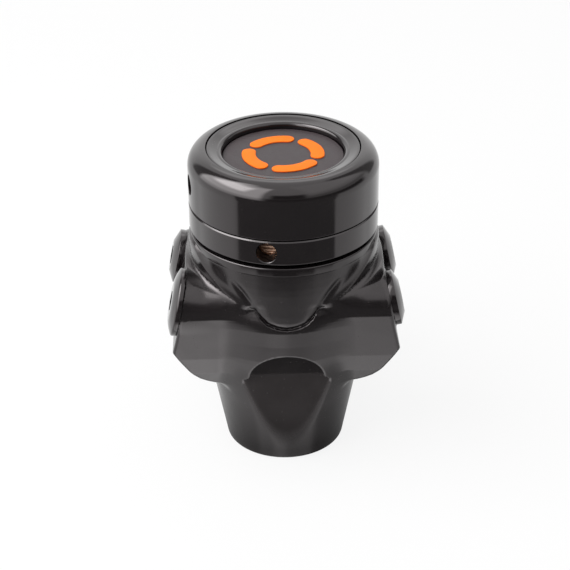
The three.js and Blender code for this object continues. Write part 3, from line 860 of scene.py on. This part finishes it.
def make_membrane():
    """Rubber disc with a clamped rim, in place of the membrane and its rim."""
    top = 81.9
    profile = ([(0, 80.9), (14.4, 80.9), (14.9, 80.82), (18.8, 80.82), (18.8, 81.28), (15.4, 81.28)]
               + arc(15.3, 81.38, 0.1, -90, -180, 3)[1:]
               + arc(14.9, top - 0.3, 0.3, 0, 90, 5) + [(12, top), (8, top), (4, top), (0, top)])
    obj = turned_piece("membrane_skin", profile, "black_rubber", RUBBER, None,
                       ["membrane", "membrane_rim"], segments=128, angle=60)
    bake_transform(obj)


def make_mark(k):
    """Raised arc with round ends and soft edges, let into the membrane."""
    angle, radius, half, span = 90 * k + 20, 8.6, 1.75, 58
    path = np.radians(np.linspace(angle - span / 2, angle + span / 2, 25))
    layers = [(0, 81.7), (0, 82.1), (0.03, 82.17), (0.1, 82.22), (0.22, 82.25)]
    points = []
    for inset, z in layers:
        h = half - inset
        for r, way, start in ((radius + h, path, 0), (radius - h, path[::-1], math.pi)):
            points += [(r * math.cos(t), r * math.sin(t), z) for t in way]
            cx, cy = radius * math.cos(way[-1]), radius * math.sin(way[-1])
            turns = way[-1] + start + np.linspace(0, math.pi, 14)[1:-1]
            points += [(cx + h * math.cos(t), cy + h * math.sin(t), z) for t in turns]
    rows, count = len(layers), len(points) // len(layers)
    faces = quads_round(rows, count) + end_faces(rows, count)
    name = f"mark_skin_{k + 1}"
    obj = add_object(name, mesh_from(name, points, faces, 60), "orange_rubber", ORANGE)
    outward(obj.data)
    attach(obj, "valve_train")
    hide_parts(f"membrane_mark_{k + 1}")


make_membrane()
for mark in range(4):
    make_mark(mark)


# ------------------------ port plugs

def make_plug(name, profile, socket_depth, port, segments=96):
    """Port plug with a hexagon socket in its face."""
    points, faces = turned(profile, segments)
    (axis, at), top = port, profile[-1][1]
    obj = add_object(name + "_skin", mesh_from(name, aimed(points, axis, at), faces), "black_shell", SHELL)
    outward(obj.data)
    key_points, key_faces = prism(hexagon(KEY_FLATS), top - socket_depth, top + 1)
    carved(obj, [cutter("key", aimed(key_points, axis, at), key_faces, SHELL)])
    shade(obj.data, 30)
    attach(obj, "housing")
    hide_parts(name)


def shank_profile(shank, depth):
    """Shank below the head, with a chamfered end."""
    return [(0, 0.8 - depth), (shank - 0.7, 0.8 - depth), (shank, 1.5 - depth), (shank, 0.2)]


def plug_profile(shank, depth, head, band, tall, face):
    """Plain band, long chamfer and flat face, with fine broken edges."""
    return (shank_profile(shank, depth)
            + rounded([(shank, 0.2), (head, 0.2), (head, band), (face, tall), (0, tall)], 0.16, 3)[4:])


def domed_profile(shank, depth, head, tall):
    """Low head like a lens: a thin edge that swells to a flat middle."""
    swell = [(0.15, 0.2), (0, 0.32), (0, 1.2), (0.1, 1.4), (0.4, 1.6), (1.1, 1.9), (1.8, 2.18), (2.6, 2.44),
             (3.4, 2.62), (4.1, tall)]
    return shank_profile(shank, depth) + [(head - inset, z) for inset, z in swell] + [(0, tall)]


LARGE = domed_profile(shank=6.1, depth=9, head=8.75, tall=2.7)
SMALL = plug_profile(shank=4.5, depth=9, head=7.1, band=1.7, tall=3.05, face=4.1)
HIGH = plug_profile(shank=4.7, depth=8, head=7.5, band=1.6, tall=3.1, face=5.6)
for side, side_word in SIDES:
    for row, row_word in ROWS:
        name = f"low_plug_{side_word}_{row_word}"
        if wide_port(side, row):
            make_plug(name, LARGE, 3.4, low_port(side, row), 128)
        else:
            make_plug(name, SMALL, 4, low_port(side, row))
    make_plug(f"high_plug_{side_word}", HIGH, 4, high_port(side))


def make_seal(node, radius, wire, height, port):
    """Rubber ring in the mouth of a port."""
    profile = arc(radius, height, wire, 0, 330, 11)
    turned_piece(node + "_skin", profile, "black_rubber", RUBBER, "housing", [node], *port,
                 segments=48, angle=60)


for side, side_word in SIDES:
    for row, row_word in ROWS:
        radius, wire = (6.62, 0.6) if wide_port(side, row) else (5.35, 0.7)
        make_seal(f"low_seal_{side_word}_{row_word}", radius, wire, -0.85, low_port(side, row))
    make_seal(f"high_seal_{side_word}", 5.55, 0.7, -0.85, high_port(side))


# ------------------------ inlet connector

def base_flats(t):
    """Outline of the connector's base: a hexagon, 22 across flats."""
    return 11 / np.cos((t + TAU / 12) % (TAU / 6) - TAU / 12)


turned_piece("inlet_base_skin",
             rounded([(4.9, 15), (7.6, 15), (7.6, 25.3), (12.4, 25.3), (12.6, 25.5), (12.6, 32), (11.6, 33),
                      (4.9, 33)], 0.15),
             "black_shell", SHELL, "housing", ["inlet_base"], *INLET, segments=180, angle=25,
             reach=base_flats)
turned_piece("inlet_stem_skin",
             rounded([(2.7, 16), (4.6, 16), (4.6, 59.9), (8.1, 59.9), (8.1, INLET_END - 0.3),
                      (7.8, INLET_END), (7.1, INLET_END), (7.1, INLET_END - 1.6), (5.1, INLET_END - 1.6),
                      (5.1, INLET_END), (2.9, INLET_END), (2.7, INLET_END - 0.2)], 0.08, 2),
             "steel", STEEL, "housing", ["inlet_stem"], *INLET, angle=30)
make_seal("inlet_face_seal", 6.1, 0.8, INLET_END - 0.7, INLET)
make_seal("inlet_base_seal", 8.8, 0.7, 24.15, INLET)


def make_thread():
    """Coupling with a real helical thread, 14 turns to the inch."""
    pitch, crest, root, neck, bore = 1.814, 11.4, 10.35, 9.6, 4.9
    foot, start, end = 33.5, 46.3, 59.4
    heights = np.concatenate([[start], np.arange(46.6, 59.2, 0.14), [end]])
    segments = 96
    t = np.arange(segments) * TAU / segments
    outer = []
    for h in heights:
        phase = (h / pitch - t / TAU) % 1
        wave = np.clip(np.abs(phase - 0.5) * 2.6 - 0.3, 0, 1)
        fade = min(1, max(0, (h - 47.2) / 1.2), max(0, (58.9 - h) / 0.9))
        outer.append(crest - (crest - root) * (wave * fade + (1 - fade)))
    before, after = [np.full(segments, r) for r in (bore, neck, neck)], [np.full(segments, bore)]
    rows = before + outer + after
    levels = [foot, foot, start, *heights, end]
    points = [(r * math.cos(a), r * math.sin(a), h) for row, h in zip(rows, levels) for r, a in zip(row, t)]
    faces = quads_round(len(levels), segments, closed=True)
    mesh = mesh_from("coupling_thread_skin", aimed(points, *INLET), faces, 40)
    obj = add_object("coupling_thread_skin", mesh, "steel", STEEL)
    outward(obj.data)
    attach(obj, "wheel")
    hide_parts("coupling_thread")


def lobes(t):
    """Outline of the handwheel: eight lobes with round scallops between them."""
    half = TAU / 16
    off = (t % (2 * half)) - half
    crest, reach, scallop = 22.0, 26.4, 7.0
    across = reach * np.sin(np.abs(off))
    inner = reach * np.cos(off) - np.sqrt(np.maximum(scallop ** 2 - across ** 2, 0))
    return np.where(across < scallop, soft_min(np.full_like(t, crest), inner, 0.6), crest)


def handwheel_profile(low, high):
    """Half section of the handwheel between two faces."""
    return ([(9.9, low), (13.6, low)] + arc(13.6, low + 0.6, 0.6, -85, -40, 3)
            + [(17.3, low + 2.3)] + arc(20, low + 4.6, 2, -60, 0, 6) + arc(20, high - 2, 2, 0, 90, 8)
            + [(17.5, high - 0.05), (17.1, high - 0.5), (12.2, high - 0.5), (11.9, high - 0.05),
               (9.9, high)])


make_thread()
turned_piece("handwheel_skin", handwheel_profile(33.3, 46.0), "grip", GRIP, "wheel", ["handwheel"],
             *INLET, segments=256, angle=40, reach=lobes)
turned_piece("inlet_filter_skin",
             [(0, 52), (1.1, 52), (1.3, 52.15), (2.4, 62.2), (2.3, 62.4), (0, 62.4)],
             "sintered_bronze", BRONZE, "housing", ["inlet_filter"], *INLET, segments=48)
turned_piece("filter_clip_skin", arc(2, 63, 0.42, 0, 330, 11), "steel", STEEL, "housing", ["filter_clip"],
             *INLET, segments=48, angle=60)


# ------------------------ inside

def make_spring(node, radius, wire, low, high, turns):
    """Wound wire between two heights, in place of a spring."""
    steps, sides = 40, 12
    count = int(turns * steps)
    t = np.arange(count + 1) * TAU / steps
    middle = low + wire + (high - low - 2 * wire) * np.arange(count + 1) / count
    s = np.arange(sides) * TAU / sides
    r = radius + wire * np.cos(s)[None, :]
    points = np.stack([r * np.cos(t)[:, None], r * np.sin(t)[:, None],
                       middle[:, None] + wire * np.sin(s)[None, :]], -1).reshape(-1, 3)
    faces = quads_round(count + 1, sides) + end_faces(count + 1, sides)
    name = node + "_skin"
    obj = add_object(name, mesh_from(name, points, faces, 50), "steel", SPRING_STEEL)
    outward(obj.data)
    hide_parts(node)
    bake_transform(obj)


make_spring("main_spring", 10.8, 1, low=61.6, high=72.6, turns=3.25)
make_spring("valve_spring", 3.4, 0.42, low=21.7, high=39.2, turns=7)

turned_piece("diaphragm_disc",
             [(0, 57.9), (13.9, 57.9), (14.05, 57.97), (14.1, 58.1), (14.1, 58.8), (14.05, 58.93),
              (13.9, 59), (0, 59)],
             "black_rubber", RUBBER, "valve_train", ["main_diaphragm"], angle=60)
turned_piece("diaphragm_rim_skin",
             [(14.25, 58), (14.4, 57.9)] + arc(15.3, 58.1, 0.6, -150, -30, 5)
             + [(17.2, 57.7), (20.0, 57.7), (20.1, 57.8), (20.1, 59.1), (20.0, 59.2), (17.2, 59.2)]
             + arc(15.3, 59.0, 0.6, -30, -150, 5) + [(14.4, 59), (14.25, 58.9)],
             "black_rubber", RUBBER, "housing", ["diaphragm_rim"], angle=60)


def refinish(material, *nodes):
    """Gives carried over solids a material of this script."""
    for node in nodes:
        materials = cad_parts[node].data.materials
        materials.clear()
        materials.append(material)


refinish(WHITE, "load_transmitter", "poppet")
refinish(BRASS, "spring_adjuster", "spring_pad", "orifice", "balance_block")
refinish(SPRING_STEEL, "thrust_washer", "lifter")
refinish(SHELL, "body")
refinish(RUBBER, "membrane")


# ------------------------ studio

# What the gloss reflects, each over the ones before: which angle, a window (left, right, low,
# high) in degrees, the softness of its edges and its brightness. "around" is the azimuth from
# the front, "behind" the same without its sign, for windows across the back.
WINDOWS = (
    # floor
    ("around", (-64, 3, -120, -47), 5, 1.9),
    ("around", (-28, 3, -120, -50), 5, 3.0),
    ("around", (3, 64, -120, -50), 5, 1.9),
    ("around", (64, 190, -120, -34), 8, 0.5),
    # sides and back
    ("around", (-125, -60, -37, 6), 5, 1.45),
    ("around", (60, 118, -34, -5), 5, 1.25),
    ("behind", (150, 200, 5, 36), 8, 1.65),
    ("around", (30, 112, 36, 84), 6, 1.9),
    ("around", (-118, -29, 3, 72), 4, 3.4),
    ("around", (-118, -29, 14, 72), 4, 5.4),
    ("around", (-106, -54, 35, 62), 5, 12.5),
    ("behind", (158, 200, 38, 54), 3, 2.8),
    ("behind", (115, 136, 2, 62), 3, 0.35),
    # light to either side of the barrel, and the dark front
    ("around", (-80, -36, -50, -33), 4, 1.35),
    ("around", (37, 80, -46, -33), 4, 1.2),
    ("around", (-26, 26, -42, -37), 3, 0.6),
    ("around", (-58, 62, -33, 0), 1.5, 0.27),
    ("around", (-36, 37, -36.5, -30), 2, 0.12),
    ("around", (-16, 16, -38.5, -35), 1.5, 0.1),
    ("around", (-24, 104, -3, 14), 4, 0.13),
    ("around", (-17, 26, 12, 36), 4, 0.12),
    ("around", (26, 112, 14, 24), 4, 0.7))


def floor_finish():
    """Pale floor that reads as white to the camera but keeps a soft shadow."""
    f = Finish("studio_floor")
    f.set(base_color=(0.6, 0.6, 0.6), roughness=0.8, specular=0.1)
    seen = Value(f, f.node("ShaderNodeLightPath").outputs["Is Camera Ray"])
    f.cover(seen * 0.86, f.node("ShaderNodeEmission", None, {"Color": (1, 1, 1), "Strength": 1.0}))
    return f.material


def dome_finish():
    """Soft lamps and dark gaps, by azimuth from the front and elevation."""
    f = Finish("studio_dome")
    x, y, z = f.xyz()
    degrees = 180 / math.pi
    around = x.math("ARCTAN2", x, 0 - y) * degrees
    turns = {"around": around, "behind": abs(around)}
    height = z.math("ARCTAN2", z - STUDIO_Z, (x * x + y * y) ** 0.5) * degrees
    tone = height.ramp(-40, 60, 1.0, 1.6)
    for turn, (left, right, low, high), soft, level in WINDOWS:
        angle = turns[turn]
        sides = angle.ramp(left - soft, left + soft) * angle.ramp(right - soft, right + soft, 1, 0)
        inside = sides * height.ramp(low - soft, low + soft) * height.ramp(high - soft, high + soft, 1, 0)
        tone = tone + (level - tone) * inside
    grey = f.node("ShaderNodeCombineColor", None, {"Red": tone, "Green": tone, "Blue": tone}).outputs[0]
    return f.set(base_color=(0, 0, 0), roughness=1.0, specular=0.0, glow=grey, glow_strength=1.0)


def stage_piece(name, mesh, material):
    """Part of the studio, not of the object."""
    mesh.materials.append(material)
    obj = bpy.data.objects.new(name, mesh)
    bpy.context.scene.collection.objects.link(obj)
    return obj


def make_floor():
    """Round floor that the gloss doesn't see."""
    rim = [(FLOOR_R * math.cos(t) * MM, FLOOR_R * math.sin(t) * MM, 0) for t in np.arange(48) * TAU / 48]
    mesh = bpy.data.meshes.new("floor")
    mesh.from_pydata(rim, [], [tuple(range(len(rim)))])
    stage_piece("floor", mesh, floor_finish()).visible_glossy = False


def make_dome():
    """Round shell about the object that only its gloss can see."""
    mesh = bpy.data.meshes.new("studio_dome")
    work = bmesh.new()
    bmesh.ops.create_icosphere(work, subdivisions=5, radius=DOME_R * MM)
    bmesh.ops.translate(work, verts=work.verts, vec=(0, 0, STUDIO_Z * MM))
    work.to_mesh(mesh)
    work.free()
    dome = stage_piece("studio_dome", mesh, dome_finish())
    for ray in ("camera", "diffuse", "shadow", "transmission"):
        setattr(dome, "visible_" + ray, False)


def make_sky():
    """White sky for the camera, a little dimmer as light."""
    world = bpy.data.worlds.new("studio")
    bpy.context.scene.world = world
    world.use_nodes = True
    sky = Nodes(world.node_tree)
    background = sky.tree.nodes["Background"]
    seen = Value(sky, sky.node("ShaderNodeLightPath").outputs["Is Camera Ray"])
    sky.plug(background.inputs["Color"], (1, 1, 1))
    sky.plug(background.inputs["Strength"], seen * 0.2 + 0.8)


def softbox(name, azimuth, elevation, distance, width, height, radiance):
    """Lamp that shines on the object from a direction; the gloss sees the dome instead."""
    back = toward(azimuth, elevation)
    data = bpy.data.lights.new(name, "AREA")
    data.shape = "RECTANGLE"
    data.size, data.size_y = width * MM, height * MM
    data.energy = radiance * math.pi * width * height * MM * MM
    obj = bpy.data.objects.new(name, data)
    obj.location = (back * distance + Vector((0, 0, STUDIO_Z))) * MM
    obj.rotation_mode = "QUATERNION"
    obj.rotation_quaternion = back.to_track_quat("Z", "Y")
    obj.visible_glossy = False
    bpy.context.scene.collection.objects.link(obj)


make_floor()
make_dome()
make_sky()
# azimuth and elevation, distance, width and height, radiance
softbox("left_softbox", -72, 44, 600, 690, 690, 3.0)
softbox("left_core", -90, 57, 560, 240, 240, 4.5)
softbox("left_strip", -50, 42, 580, 150, 150, 3.0)
softbox("right_softbox", 95, 62, 600, 300, 300, 1.1)
softbox("rear_softbox", 175, 48, 600, 500, 260, 0.9)

bpy.context.scene.view_settings.view_transform = "Standard"
